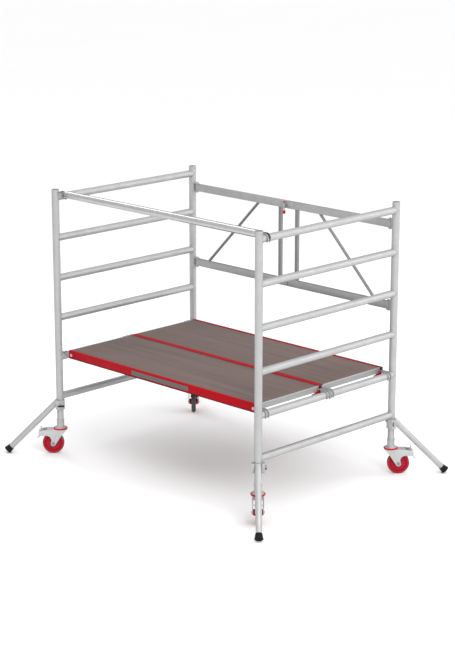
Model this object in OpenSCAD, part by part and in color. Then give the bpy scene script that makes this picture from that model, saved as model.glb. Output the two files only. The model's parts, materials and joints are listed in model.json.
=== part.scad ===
// Folding frame scaffold section: two ladder frames joined by a folding rear
// brace, with two lift-off decks, one guard rail, four adjustable castor legs
// and four swinging stabilisers.
// Millimetres, +Z up, origin on the floor under the middle of the section,
// +X along the decks, +Y towards the folding brace.

/* [Frames] */
// Post axis to post axis along the decks
frame_l = 1910; // [1500:10:2600]
// Post axis to post axis across a frame
frame_w = 1290; // [1250:10:1550]
// Step from one rung to the next
rung_pitch = 280; // [260:1:340]
// Height of the lowest rung's axis above the floor
rung_low_z = 413; // [390:1:500]
// Outer diameter of a post
post_d = 50; // [48:0.5:52]
// Wall of a post
post_wall = 2.5; // [2:0.1:3]
// Outer diameter of a rung
rung_d = 48; // [40:0.5:48]
// Wall of a rung
rung_wall = 2; // [1.5:0.1:3]
// How far a post stands above the top rung's axis
post_over = 54; // [45:1:80]
// How far a post hangs below the lowest rung's axis
post_under = 40; // [35:1:45]
// Depth of the socket that takes the next frame's spigot
socket_l = 100; // [60:5:150]
// Diameter of that socket
socket_d = 46; // [45.5:0.1:46.5]
// Hole for the frame pin near the top of a post
pin_hole_d = 8; // [6:0.5:10]

/* [Legs and castors] */
// How far a leg reaches up into its post
leg_in = 380; // [250:10:500]
// Radial play of the leg in its post
leg_play = 0.05; // [0.02:0.01:0.1]
// Wall of the leg tube
leg_wall = 2; // [1.5:0.1:3]
// Step of the adjusting holes
hole_pitch = 25; // [20:1:40]
// Diameter of the adjusting holes
hole_d = 10; // [8:0.5:12]
// Height of the castor, from the floor to the leg's flange
castor_h = 185; // [178:1:210]
// Wheel diameter
wheel_d = 150; // [120:1:155]
// Width of the tyre
tyre_w = 32; // [28:1:40]
// Depth of the tyre
tyre_t = 6; // [4:0.5:10]
// Axle's offset behind the swivel axis
trail = 52; // [45:1:60]
// Axle diameter
axle_d = 12; // [10:0.5:14]
// Inner distance between the fork's arms
fork_gap = 64; // [60:1:70]
// Sheet thickness of the fork
fork_t = 4; // [3:0.5:5]
// Diameter of the swivel head's red ring
ring_d = 96; // [88:1:100]

/* [Stabilisers] */
// Slope of a stabiliser below the horizontal
stab_angle = 45; // [40:1:50]
// Outer diameter of the stabiliser tube
stab_d = 40; // [34:1:40]
// Wall of the stabiliser tube
stab_wall = 2; // [1.5:0.1:3]
// Height of the clamp casting
clamp_h = 62; // [56:1:62]
// Diameter of the rubber foot at its sole
foot_d = 49; // [48:1:56]
// Length of the rubber foot
foot_l = 40; // [34:1:50]

/* [Folding brace] */
// Height of the brace's top rail below the top rung's axis
brace_drop = 97; // [90:1:120]
// Height of the brace's bottom rail below the fourth rung's axis
brace_low_drop = 88; // [80:1:110]
// Height of a brace rail
rail_h = 50; // [40:1:60]
// Thickness of a brace rail
rail_t = 25; // [20:1:26]
// Wall of a brace rail
rail_wall = 2; // [1.5:0.1:3]
// End hinge pin's distance from the post axis
pin_in = 48; // [48:1:56]
// Diameter of the end hinge pins
end_pin_d = 12; // [10:0.5:13]
// Uprights' distance from the middle hinge
upright_x = 78; // [70:1:120]
// Where the diagonal meets the top rail, from the middle hinge
diag_top_x = 290; // [200:5:400]
// Where the diagonal meets the bottom rail, from the end hinge pin
diag_end_x = 122; // [80:1:200]
// Diameter of the diagonal
diag_d = 20; // [16:1:24]

/* [Decks] */
// Width of one deck
deck_w = 604; // [560:1:606]
// How far a deck's end stays inboard of the rung's axis it hangs on
deck_reach = 58; // [56:1:80]
// Gap between the two decks
deck_gap = 3; // [2:0.5:10]
// Height of the deck's top above its rung's axis
deck_up = 52; // [48:1:52]
// Height of the side beams
beam_h = 58; // [50:1:60]
// Width of a side beam's top flange
flange_w = 20; // [16:1:24]
// Thickness of the side beams' walls
beam_t = 3.5; // [3:0.5:5]
// Thickness of the deck board
board_t = 10; // [8:0.5:12]
// Height of the end beams
end_h = 40; // [30:1:40]
// Depth of the end beams along the deck
end_w = 30; // [24:1:36]

/* [Hooks and guard rail] */
// Play between a hook and its rung
hook_play = 1; // [0.6:0.1:2]
// Thickness of a hook's plates in the throat
hook_t = 8; // [6:1:10]
// Outer width of a deck hook
hook_w = 30; // [26:1:34]
// Outer diameter of the guard rail
guard_d = 50; // [40:1:50]
// Guard rail's axis inboard of the front posts' axes
guard_in = 60; // [58:1:80]
// Guard rail's axis above the top rungs' axes
guard_up = 16; // [14:1:18]

/* [Hidden] */
$fn = 48;

// Corners: which side along X, which side along Y
FRONT_LEFT = [-1, -1];
FRONT_RIGHT = [1, -1];
REAR_LEFT = [-1, 1];
REAR_RIGHT = [1, 1];
LEFT = -1;
RIGHT = 1;

// Colours
aluminium = "silver";
casting = "darkgray";
zinc = "gainsboro";
red = "firebrick";
black = "dimgray";
board_brown = "rosybrown";

// General clearances
running = 0.06;  // radial play of a pin or axle
apart = 0.4;     // gap between pieces that move past each other
seat = 0.03;     // gap between two pieces held against each other
eps = 1;         // overshoot of a cut

// Frames
half_l = frame_l / 2;
half_w = frame_w / 2;
rung_n = 6;
rung_top_z = rung_low_z + (rung_n - 1) * rung_pitch;
deck_rung_z = rung_low_z + rung_pitch;
post_r = post_d / 2;
post_bore_r = post_r - post_wall;
post_top_z = rung_top_z + post_over;
post_bot_z = rung_low_z - post_under;
post_h = post_top_z - post_bot_z;
pin_hole_down = 18;
rung_r = rung_d / 2;

// Legs
leg_r = post_bore_r - leg_play;
sleeve_r = leg_r + 2.6;
sleeve_h = 46;
sleeve_lip_r = sleeve_r + 1.3;
sleeve_lip_h = 5;
flange_h = 13;
flange_r = ring_d / 2 - 6;
sleeve_z = castor_h + flange_h;
leg_top_z = post_bot_z + leg_in;
first_hole_z = sleeve_z + sleeve_h + 55;
hole_n = floor((leg_top_z - 20 - first_hole_z) / hole_pitch) + 1;

// Castors: the ring lies on the fork's crown, the king pin holds both
ring_h = 10;
crown_z = castor_h - ring_h;
king_r = 8;
king_head_r = 14;
king_head_h = 6;
axle_z = wheel_d / 2;
fork_w = fork_gap + 2 * fork_t;
axle_boss_r = 18;
pedal_x = trail + 74;
pedal_z = crown_z - 25;
pedal_w = 40;
pedal_pin_r = 4;
hub_boss_r = 22;

// Clamps: the sleeve on the post's end carries the stabiliser's clamp ring
sleeve_wall = 2;
clamp_in_r = post_r + sleeve_wall + apart;
clamp_out_r = clamp_in_r + 4.6;
clamp_top_z = rung_low_z - rung_r - 1.5;
clamp_bot_z = clamp_top_z - clamp_h;
cheek_l = 28;
cheek_in = stab_d / 2 + 3;
cheek_w = 20;
lever_h = 12;
lever_x = 8;
lever_y = cheek_in + cheek_w + 6;
lever_z = clamp_bot_z + 20;
lever_pin_r = 3;

// Stabilisers: the foot's sole touches the floor with its lower edge
stab_r = stab_d / 2;
stab_top_z = rung_low_z - 21;
foot_r = foot_d / 2;
foot_sole_t = 6;
foot_edge_r = foot_r + 1;
stab_len = (stab_top_z - foot_edge_r * cos(stab_angle)) / sin(stab_angle);

// Brace
brace_top_z = rung_top_z - brace_drop;
brace_bot_z = rung_low_z + 3 * rung_pitch - brace_low_drop;
brace_end_x = half_l - pin_in;
end_pin_r = end_pin_d / 2;
ear_t = 6;
ear_r = 15;
saddle_w = 32;
end_block = 30;
mid_gap = 3;
leaf_t = 4;
mid_off = rail_t / 2 + leaf_t + 1.5;
knuckle_r = 5.4;
hinge_pin_r = 3;
leaf_h = 40;
leaf_l = 60;
upright_w = 24;
upright_t = 20;
lug_t = 8;
keeper_t = 4;
keeper_z = 8;
keeper_h = 6;
lock_x = 25;
lock_y = rail_t / 2 + 11;
lock_r = 5;
lock_knob_r = 9;
lug_half = 9;
lock_travel = 10;

// Hooks, shared by decks and guard rail; origin on the rung's axis
hook_in = rung_r + hook_play;
hook_out = hook_in + hook_t;
hook_plate_t = 6;
hook_arm_z = 18;
deck_l = frame_l - 2 * deck_reach;
catch_in = rung_r + hook_play + 0.4;
catch_out = catch_in + 6;

// Decks
deck_top_z = deck_rung_z + deck_up;
front_deck_y = -deck_gap / 2 - deck_w;
rear_deck_y = deck_gap / 2;
ledge_w = 13;
lip_h = 8;
board_top = -beam_t;
hook_inset = 15.5;
floor_beam_x = 300;
floor_beam_h = 25;
end_lip = 4;
bolt_in = 25;
bolt_down = 32;
bolt_r = 7.5;
bolt_h = 5;
rivet_h = 1.2;

// Guard rail
guard_z = rung_top_z + guard_up;
guard_y = -half_w + guard_in;
guard_reach = 46;

// ---- helpers ----

// A tube along +Z
module tube(r, wall, h) {
  difference() {
    cylinder(r = r, h = h);
    translate([0, 0, -eps]) cylinder(r = r - wall, h = h + 2 * eps);
  }
}

// A flat shape drawn in X and Z, t thick, from y = y0
module slab_y(y0, t) {
  translate([0, y0 + t, 0]) rotate([90, 0, 0]) linear_extrude(t) children();
}

// A profile drawn in Y and Z, extruded along +X
module along_x(len) {
  rotate([90, 0, 90]) linear_extrude(len) children();
}

// A cylinder along Y, centred
module rod_y(r, len) {
  rotate([90, 0, 0]) cylinder(r = r, h = len, center = true);
}

// Corner frame: +X points diagonally outwards from the post
module at_corner(c) {
  translate([c.x * half_l, c.y * half_w, 0]) rotate([0, 0, atan2(c.y, c.x)]) children();
}

// ---- ladder frames ----

module post(c) {
  color(aluminium) translate([c.x * half_l, c.y * half_w, post_bot_z]) difference() {
    cylinder(r = post_r, h = post_h);
    translate([0, 0, -eps]) cylinder(r = post_bore_r, h = post_h - socket_l + eps);
    translate([0, 0, post_h - socket_l]) cylinder(r = socket_d / 2, h = socket_l + eps);
    translate([0, 0, post_h - pin_hole_down]) rotate([0, 90, 0])
      cylinder(r = pin_hole_d / 2, h = post_d + 2 * eps, center = true);
  }
}

module rungs(side) {
  color(aluminium) difference() {
    for (i = [0 : rung_n - 1])
      translate([side * half_l, half_w, rung_low_z + i * rung_pitch])
        rotate([90, 0, 0]) tube(rung_r, rung_wall, frame_w);
    for (y = [-half_w, half_w])
      translate([side * half_l, y, post_bot_z]) cylinder(r = post_r, h = post_h);
  }
}

// Sleeve on the lower end of a post: guides the leg and carries the clamp
module post_sleeve(c) {
  flange_t = 5;
  sleeve_bot = clamp_bot_z - apart - flange_t;
  translate([c.x * half_l, c.y * half_w, sleeve_bot]) difference() {
    union() {
      cylinder(r = post_r + sleeve_wall, h = clamp_top_z - sleeve_bot);
      cylinder(r = clamp_out_r, h = flange_t);
    }
    translate([0, 0, -eps]) cylinder(r = leg_r + 0.25, h = clamp_top_z - sleeve_bot + 2 * eps);
    translate([0, 0, post_bot_z - sleeve_bot]) cylinder(r = post_r, h = post_h);
  }
}

// Hinge bracket of the brace on a rear post, with its pin
module brace_bracket(side, z) {
  inner_h = rail_h + 2 * apart;
  bracket_h = inner_h + 2 * ear_t;
  translate([side * half_l, half_w, z]) rotate([0, 0, side > 0 ? 180 : 0]) {
    difference() {
      union() {
        translate([post_r * 0.6, -saddle_w / 2, -bracket_h / 2])
          cube([post_r * 0.4 + 6, saddle_w, bracket_h]);
        for (k = [0, 1]) translate([0, 0, -bracket_h / 2 + k * (inner_h + ear_t)]) {
          translate([post_r * 0.6, -ear_r, 0]) cube([pin_in - post_r * 0.6, 2 * ear_r, ear_t]);
          translate([pin_in, 0, 0]) cylinder(r = ear_r, h = ear_t);
        }
      }
      cylinder(r = post_r, h = bracket_h + 2 * eps, center = true);
      translate([pin_in, 0, 0]) cylinder(r = end_pin_r, h = bracket_h + 2 * eps, center = true);
    }
    translate([pin_in, 0, 0]) {
      cylinder(r = end_pin_r, h = bracket_h, center = true);
      translate([0, 0, bracket_h / 2]) cylinder(r = end_pin_r + 3, h = 6);
      translate([0, 0, -bracket_h / 2 - 4]) cylinder(r = end_pin_r + 2, h = 4);
    }
  }
}

module fittings(side) {
  color(casting) {
    post_sleeve([side, -1]);
    post_sleeve([side, 1]);
    brace_bracket(side, brace_top_z);
    brace_bracket(side, brace_bot_z);
  }
}

// ---- legs and castors ----

module leg(c) {
  color(aluminium) at_corner(c) {
    difference() {
      union() {
        translate([0, 0, sleeve_z]) cylinder(r = leg_r, h = leg_top_z - sleeve_z);
        translate([0, 0, sleeve_z]) cylinder(r = sleeve_r, h = sleeve_h);
        translate([0, 0, sleeve_z + sleeve_h - sleeve_lip_h])
          cylinder(r = sleeve_lip_r, h = sleeve_lip_h);
        translate([0, 0, castor_h]) cylinder(r1 = flange_r, r2 = sleeve_r, h = flange_h);
        translate([0, 0, crown_z - fork_t - apart])
          cylinder(r = king_r, h = ring_h + fork_t + 2 * apart);
        translate([0, 0, crown_z - fork_t - apart - king_head_h])
          cylinder(r = king_head_r, h = king_head_h);
      }
      translate([0, 0, sleeve_z]) cylinder(r = leg_r - leg_wall, h = leg_top_z - sleeve_z + eps);
      rotate([0, 0, -atan2(c.y, c.x)]) for (i = [0 : hole_n - 1])
        translate([0, 0, first_hole_z + i * hole_pitch]) rod_y(hole_d / 2, 2 * post_d);
    }
  }
}

// Side of the fork: runs from the crown to the axle, with the brake housing behind
module fork_side() {
  polygon(concat(
    [[-42, crown_z], [-38, crown_z - 7], [-6, axle_z + 57]],
    [for (a = [205 : 18 : 349]) [trail + axle_boss_r * cos(a), axle_z + axle_boss_r * sin(a)]],
    [[trail + 11, axle_z + 26], [trail + 19, axle_z + 47], [trail + 40, axle_z + 58]],
    [[trail + 84, axle_z + 56], [trail + 98, axle_z + 64], [trail + 103, axle_z + 77]],
    [[trail + 98, axle_z + 87], [trail + 82, crown_z - 7], [trail + 48, crown_z]]
  ));
}

module fork(c) {
  at_corner(c) {
    color(zinc) difference() {
      union() {
        translate([0, 0, crown_z - fork_t]) cylinder(r = ring_d / 2 - 2, h = fork_t);
        translate([0, -fork_w / 2, crown_z - fork_t]) cube([trail + 46, fork_w, fork_t]);
        for (y = [-fork_w / 2, fork_gap / 2]) slab_y(y, fork_t) fork_side();
      }
      translate([0, 0, crown_z - fork_t - eps]) cylinder(r = king_r + running, h = fork_t + 2 * eps);
      translate([trail, 0, axle_z]) rod_y(axle_d / 2 + seat, fork_w + 2 * eps);
      translate([pedal_x, 0, pedal_z]) rod_y(pedal_pin_r + running, fork_w + 2 * eps);
    }
    color(red) translate([0, 0, crown_z + seat]) difference() {
      cylinder(r = ring_d / 2, h = ring_h - apart - seat);
      translate([0, 0, -eps]) cylinder(r = ring_d / 2 - 18, h = ring_h + 2 * eps);
    }
    color(zinc) translate([trail, 0, axle_z]) {
      rod_y(axle_d / 2, fork_w + 2);
      for (s = [-1, 1]) translate([0, s * (fork_w / 2 + 2.5 + seat), 0]) rod_y(axle_d / 2 + 4, 5);
    }
  }
}

module hub(c) {
  rim_r = wheel_d / 2 - tyre_t;
  boss_w = fork_gap / 2 - 0.5;
  color(red) at_corner(c) translate([trail, 0, axle_z]) rotate([90, 0, 0]) rotate_extrude() polygon([
    [axle_d / 2 + running, -boss_w], [hub_boss_r, -boss_w], [hub_boss_r, -15],
    [rim_r - 24, -14], [rim_r - 22, -9], [rim_r - 14, -9], [rim_r - 10, -tyre_w / 2],
    [rim_r, -tyre_w / 2], [rim_r, tyre_w / 2],
    [rim_r - 10, tyre_w / 2], [rim_r - 14, 9], [rim_r - 22, 9], [rim_r - 24, 14],
    [hub_boss_r, 15], [hub_boss_r, boss_w], [axle_d / 2 + running, boss_w]
  ]);
}

module tyre(c) {
  outer = wheel_d / 2;
  round_in = 3;
  color(black) at_corner(c) translate([trail, 0, axle_z]) rotate([90, 0, 0]) rotate_extrude() polygon([
    [outer - tyre_t, -tyre_w / 2], [outer - round_in, -tyre_w / 2], [outer, -tyre_w / 2 + 2 * round_in],
    [outer, tyre_w / 2 - 2 * round_in], [outer - round_in, tyre_w / 2], [outer - tyre_t, tyre_w / 2]
  ]);
}

// Total-lock pedal with its upper and lower tread
module pedal(c) {
  color(casting) at_corner(c) translate([pedal_x, 0, pedal_z]) {
    slab_y(-pedal_w / 2, pedal_w) polygon([
      [-14, -5], [-14, 6], [4, 18], [9, 40], [13, 40], [12, 17], [23, 9],
      [23, -10], [19, -16], [40, -40], [36, -43], [12, -18], [-6, -10]
    ]);
    rod_y(pedal_pin_r, fork_w);
  }
}

// ---- stabilisers ----

module stabiliser(c) {
  color(aluminium) at_corner(c) difference() {
    union() {
      translate([0, 0, clamp_bot_z]) cylinder(r = clamp_out_r, h = clamp_h);
      for (s = [-1, 1]) translate([-2, s > 0 ? cheek_in : -cheek_in - cheek_w, clamp_bot_z])
        cube([cheek_l + 2, cheek_w, clamp_h]);
      translate([-6, -cheek_in - 1, clamp_bot_z]) cube([12, 2 * cheek_in + 2, clamp_h]);
      difference() {
        translate([0, 0, stab_top_z]) rotate([0, 90 + stab_angle, 0])
          cylinder(r = stab_r, h = stab_len - foot_sole_t);
        translate([-post_d, -post_d, clamp_top_z]) cube([2 * post_d, 2 * post_d, post_d]);
      }
      for (z = [lever_z - 6 - apart, lever_z + lever_h + apart])
        translate([lever_x - 7, cheek_in + cheek_w - 1, z]) cube([14, 12, 6]);
    }
    translate([0, 0, stab_top_z]) rotate([0, 90 + stab_angle, 0])
      cylinder(r = stab_r - stab_wall, h = stab_len + eps);
    translate([0, 0, clamp_bot_z - eps]) cylinder(r = clamp_in_r, h = clamp_h + 2 * eps);
    // slot through the plain cheek
    translate([6, -cheek_in - cheek_w - eps, clamp_bot_z + 14]) cube([8, cheek_w + 1.5 * eps, 32]);
    translate([lever_x, lever_y, lever_z - 20]) cylinder(r = lever_pin_r, h = 60);
  }
  color(casting) at_corner(c) translate([lever_x, lever_y, lever_z - 6 - apart])
    cylinder(r = lever_pin_r, h = lever_h + 12 + 2 * apart);
}

// Toggle lever that closes the clamp
module clamp_lever(c) {
  color(black) at_corner(c) translate([lever_x, lever_y, lever_z]) difference() {
    union() {
      cylinder(r = 5.5, h = lever_h);
      translate([-42, -3.5, 0]) cube([42, 8, lever_h]);
    }
    translate([0, 0, -eps]) cylinder(r = lever_pin_r + running, h = lever_h + 2 * eps);
  }
}

// Rubber foot on the stabiliser's end
module foot(c) {
  color(black) at_corner(c) translate([0, 0, stab_top_z]) rotate([0, 90 + stab_angle, 0])
    translate([0, 0, stab_len - foot_l]) difference() {
      rotate_extrude() polygon([
        [0, 0], [stab_r + 1.5, 0], [stab_r + 2.5, 2], [foot_r - 0.5, foot_l - 9], [foot_edge_r, foot_l - 7],
        [foot_edge_r, foot_l - 1], [foot_edge_r, foot_l], [0, foot_l]
      ]);
      translate([0, 0, -eps]) cylinder(r = stab_r + running, h = foot_l - foot_sole_t + eps);
    }
}

// ---- folding brace, drawn for the left half ----

module rail_half(z) {
  len = brace_end_x - mid_gap;
  translate([-brace_end_x, half_w, z]) difference() {
    union() {
      translate([0, -rail_t / 2, -rail_h / 2]) cube([len, rail_t, rail_h]);
      cylinder(r = rail_t / 2, h = rail_h, center = true);
    }
    translate([end_block, -rail_t / 2 + rail_wall, -rail_h / 2 + rail_wall])
      cube([len, rail_t - 2 * rail_wall, rail_h - 2 * rail_wall]);
    cylinder(r = end_pin_r + running, h = rail_h + 2 * eps, center = true);
  }
}

// Hinge leaf on the rear face of a rail; own = 1 for the outer knuckles, 0 for the middle one
module leaf(z, own) {
  knuckle_h = 13.6;
  outer_h = (leaf_h - knuckle_h) / 2 - apart;
  spans = own == 1
    ? [[-leaf_h / 2, outer_h], [leaf_h / 2 - outer_h, outer_h]]
    : [[-knuckle_h / 2, knuckle_h]];
  translate([0, half_w, z]) difference() {
    union() {
      translate([-leaf_l, rail_t / 2, -leaf_h / 2]) cube([leaf_l - knuckle_r - 1, leaf_t, leaf_h]);
      for (s = spans) translate([0, 0, s[0]]) {
        translate([-knuckle_r - 2, rail_t / 2, 0]) cube([knuckle_r - 1, leaf_t, s[1]]);
        translate([0, mid_off, 0]) cylinder(r = knuckle_r, h = s[1]);
      }
    }
    translate([0, mid_off, 0])
      cylinder(r = own == 1 ? hinge_pin_r : hinge_pin_r + running, h = leaf_h + 2 * eps, center = true);
  }
}

module brace_frame() {
  low = brace_bot_z + rail_h / 2;
  high = brace_top_z - rail_h / 2;
  diag_low_x = -brace_end_x + diag_end_x;
  diag_run = -diag_top_x - diag_low_x;
  diag_rise = high - low;
  rail_half(brace_top_z);
  rail_half(brace_bot_z);
  // upright
  translate([-upright_x, half_w, low]) difference() {
    translate([-upright_w / 2, -upright_t / 2, 0]) cube([upright_w, upright_t, high - low]);
    translate([-upright_w / 2 + rail_wall, -upright_t / 2 + rail_wall, -eps])
      cube([upright_w - 2 * rail_wall, upright_t - 2 * rail_wall, high - low + 2 * eps]);
  }
  // diagonal, cut off flat at both rails
  intersection() {
    translate([diag_low_x, half_w, low]) rotate([0, atan2(diag_run, diag_rise), 0])
      translate([0, 0, -40]) tube(diag_d / 2, rail_wall, norm([diag_run, diag_rise]) + 80);
    translate([-half_l, 0, low]) cube([half_l, frame_w, high - low]);
  }
}

// Lower lug of the lock, on the left half
module lock_lug() {
  translate([-lock_x, half_w, brace_top_z - rail_h / 2]) difference() {
    translate([-lug_half, -lock_y - lug_half, 0])
      cube([2 * lug_half, lock_y + lug_half - rail_t / 2, lug_t]);
    translate([0, -lock_y, -eps]) cylinder(r = lock_r + running, h = lug_t + 2 * eps);
  }
}

// Keeper on the right half: cover plate with a pointed top and a tab over the lock pin
module keeper() {
  gap = apart;
  translate([0, half_w, brace_top_z]) difference() {
    union() {
      slab_y(-rail_t / 2 - gap - keeper_t, keeper_t) polygon([
        [-5, -rail_h / 2], [leaf_l, -rail_h / 2], [leaf_l, rail_h / 2], [28, rail_h / 2],
        [20, rail_h / 2 + 11], [12, rail_h / 2], [-5, rail_h / 2]
      ]);
      translate([20, -rail_t / 2 - gap - eps / 2, -rail_h / 2]) cube([leaf_l - 20, gap + eps / 2, rail_h]);
      translate([-lock_x - lug_half - 2, -lock_y - lug_half, keeper_z])
        cube([lock_x + lug_half + 2, lock_y + lug_half - rail_t / 2 - gap, keeper_h]);
      translate([-lock_x, -lock_y, keeper_z]) cylinder(r = lock_r + 2.5, h = keeper_h + 7);
    }
    translate([-lock_x, -lock_y, keeper_z - eps]) cylinder(r = lock_r + 0.4, h = lock_travel + eps + 0.5);
  }
}

module brace_left() {
  color(aluminium) {
    brace_frame();
    leaf(brace_top_z, 1);
    leaf(brace_bot_z, 1);
    lock_lug();
  }
}

module brace_right() {
  color(aluminium) {
    mirror([1, 0, 0]) {
      brace_frame();
      leaf(brace_top_z, 0);
      leaf(brace_bot_z, 0);
    }
    keeper();
  }
}

module brace_pins() {
  head = 3;
  color(casting) for (z = [brace_top_z, brace_bot_z]) translate([0, half_w + mid_off, z]) {
    cylinder(r = hinge_pin_r, h = leaf_h, center = true);
    for (s = [-1, 1]) translate([0, 0, s * (leaf_h + head) / 2])
      cylinder(r = hinge_pin_r + 2, h = head, center = true);
  }
}

// Spring-bolt style lock pin, drawn pulled down with its nose under the keeper
module lock_pin() {
  nose = keeper_z - 0.5;
  ring_low = -rail_h / 2 + lug_t + apart;
  collar_top = -rail_h / 2 - lock_travel - 0.5;
  collar_h = 5;
  knob_h = 24;
  color(red) translate([-lock_x, half_w - lock_y, brace_top_z]) {
    translate([0, 0, collar_top - 1]) cylinder(r = lock_r, h = nose - collar_top + 1);
    translate([0, 0, ring_low]) cylinder(r = lock_r + 2, h = 3);
    translate([0, 0, collar_top - collar_h]) cylinder(r = lock_r + 2.5, h = collar_h);
    translate([0, 0, collar_top - collar_h - knob_h]) cylinder(r = lock_knob_r, h = knob_h);
  }
}

// ---- hooks ----

// Hook plate outline: throat round the rung, arm towards -X, lip ending at angle tip
module hook_outline(reach, tip) {
  far = 4 * hook_out;
  difference() {
    union() {
      circle(r = hook_out);
      translate([-reach, hook_arm_z]) square([reach, hook_out - hook_arm_z]);
    }
    circle(r = hook_in);
    polygon([
      [0, 0], [far * cos(tip), far * sin(tip)], [far * cos(tip), -far], [-far, -far],
      [-far, hook_arm_z], [-hook_in, hook_arm_z]
    ]);
  }
}

// Double-plate hook, width w, centred on y = 0
module hook(reach, tip, w) {
  for (y = [-w / 2, w / 2 - hook_plate_t]) slab_y(y, hook_plate_t) hook_outline(reach, tip);
  translate([-reach, -w / 2, hook_arm_z]) cube([12, w, hook_out - hook_arm_z]);
}

// Places a hook at the left or right rung; side = 1 is drawn as above
module on_rung(side, z) {
  translate([side * half_l, 0, z]) {
    if (side > 0) children();
    else mirror([1, 0, 0]) children();
  }
}

left_tip = 0;     // the left lips stop level with the rung's axis, so the deck lifts off
right_tip = -50;  // the right lips wrap under, so the deck turns about the rung

// Catch that closes under the rung: hangs from pivot p and follows the rung to angle a
module catch_plate(p, a, t) {
  slab_y(-t / 2, t) difference() {
    union() {
      polygon(concat(
        [p - [6, 0]],
        [for (k = [0 : 6]) catch_out * [cos(180 + k * (a - 180) / 6), sin(180 + k * (a - 180) / 6)]],
        [for (k = [6 : -1 : 0]) catch_in * [cos(180 + k * (a - 180) / 6), sin(180 + k * (a - 180) / 6)]],
        [p + [6, 0]]
      ));
      translate(p) circle(r = 7);
    }
    translate(p) circle(r = lever_pin_r + running);
  }
}

// ---- guard rail ----

module guard_rail() {
  len = frame_l - 2 * guard_reach;
  color(aluminium) translate([-len / 2, guard_y, guard_z]) rotate([0, 90, 0])
    tube(guard_d / 2, 2, len);
}

guard_pivot = [-32, 25.5];
latch_open = 22;

module guard_hooks() {
  w = 28;
  cap = 6;
  color(casting) for (side = [LEFT, RIGHT]) translate([0, guard_y, 0]) on_rung(side, rung_top_z) {
    difference() {
      union() {
        for (y = [-w / 2, w / 2 - hook_plate_t])
          slab_y(y, hook_plate_t) hook_outline(guard_reach, side < 0 ? left_tip : right_tip);
        translate([-guard_reach, 0, guard_up]) rotate([0, 90, 0]) cylinder(r = guard_d / 2, h = 1.5);
        translate([-guard_reach - cap, 0, guard_up]) rotate([0, 90, 0])
          cylinder(r = guard_d / 2 - 2, h = cap);
      }
      translate([guard_pivot.x, 0, guard_pivot.y]) rod_y(lever_pin_r, w + 2 * eps);
    }
    translate([guard_pivot.x, 0, guard_pivot.y]) rod_y(lever_pin_r, w);
    // liner between the plates
    slab_y(-w / 2 + hook_plate_t + seat, w - 2 * hook_plate_t - 2 * seat) difference() {
      circle(r = hook_out + 1.5);
      circle(r = hook_in);
      polygon([[0, 0], 100 * [cos(130), sin(130)], [-100, -100], [100, -100], [100, 8]]);
    }
  }
}

module guard_latch(side) {
  t = 12;
  color(black) translate([0, guard_y, 0]) on_rung(side, rung_top_z)
    translate([guard_pivot.x, 0, guard_pivot.y]) rotate([0, side < 0 ? latch_open : 0, 0])
      translate([-guard_pivot.x, 0, -guard_pivot.y]) catch_plate(guard_pivot, 215, t);
}

// ---- decks; y0 is the deck's front edge ----

// Side beam profile in Y and Z, outer face at y = 0, top at z = 0
module beam_profile() {
  board_low = board_top - board_t;
  polygon([
    [0, 0], [flange_w, 0], [flange_w, -beam_t], [beam_t, -beam_t],
    [beam_t, board_low], [ledge_w, board_low], [ledge_w, board_low - 3], [beam_t, board_low - 3],
    [beam_t, -beam_h + beam_t], [flange_w, -beam_h + beam_t], [flange_w, -beam_h + lip_h],
    [flange_w + 2.5, -beam_h + lip_h], [flange_w + 2.5, -beam_h], [0, -beam_h]
  ]);
}

// The ledge stops short of the end beams
module side_beam() {
  difference() {
    along_x(deck_l) beam_profile();
    for (x = [-eps, deck_l - end_w - 1]) translate([x, beam_t, -beam_h + beam_t])
      cube([end_w + 1 + eps, flange_w * 2, beam_h - 2 * beam_t]);
  }
}

module deck_beams(y0) {
  color(red) translate([-deck_l / 2, y0, deck_top_z]) {
    side_beam();
    translate([0, deck_w, 0]) mirror([0, 1, 0]) side_beam();
  }
}

// Cross beam: full height between the flanges, lower tongues that meet the webs
module cross_beam(x, w, top, h, tongue_top, neck) {
  tongue = beam_t + 0.02;
  wall = 2.5;
  translate([x - w / 2, 0, 0]) difference() {
    union() {
      translate([0, neck, top - h]) cube([w, deck_w - 2 * neck, h]);
      translate([0, tongue, top - h]) cube([w, deck_w - 2 * tongue, h + tongue_top - top]);
    }
    translate([wall, -eps, top - h + wall])
      cube([w - 2 * wall, deck_w + 2 * eps, h + tongue_top - top - 2 * wall]);
  }
}

// End beam in X and Z: outer face at x = 0, lip round the board's edge, two grooves outside
module end_profile() {
  board_low = board_top - board_t;
  wall = 2.5;
  groove = 1.2;
  difference() {
    polygon([
      [0, 0], [-end_lip, 0], [-end_lip, board_low], [-end_w, board_low], [-end_w, -end_h], [0, -end_h],
      [0, -30], [-groove, -29], [-groove, -27], [0, -26], [0, -20], [-groove, -19], [-groove, -17], [0, -16]
    ]);
    translate([-end_w + wall, -end_h + wall])
      square([end_w - 2 * wall - groove, end_h + board_low - 2 * wall]);
  }
}

module end_beam() {
  neck = flange_w + 0.3;
  tongue = beam_t + 0.02;
  slab_y(neck, deck_w - 2 * neck) end_profile();
  slab_y(tongue, deck_w - 2 * tongue) intersection() {
    end_profile();
    translate([-end_w, -end_h]) square([end_w, end_h - beam_t - 0.1]);
  }
}

module deck_ends(y0) {
  board_low = board_top - board_t;
  color(aluminium) translate([0, y0, deck_top_z]) {
    translate([deck_l / 2, 0, 0]) end_beam();
    mirror([1, 0, 0]) translate([deck_l / 2, 0, 0]) end_beam();
    for (s = [-1, 1])
      cross_beam(s * floor_beam_x, end_w, board_low, floor_beam_h, board_low - 3.1, ledge_w + 0.3);
  }
}

module deck_board(y0) {
  len = deck_l - 2 * end_lip - 1;
  color(board_brown) translate([-len / 2, y0 + beam_t + 0.5, deck_top_z + board_top - board_t])
    cube([len, deck_w - 2 * beam_t - 1, board_t]);
}

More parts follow.
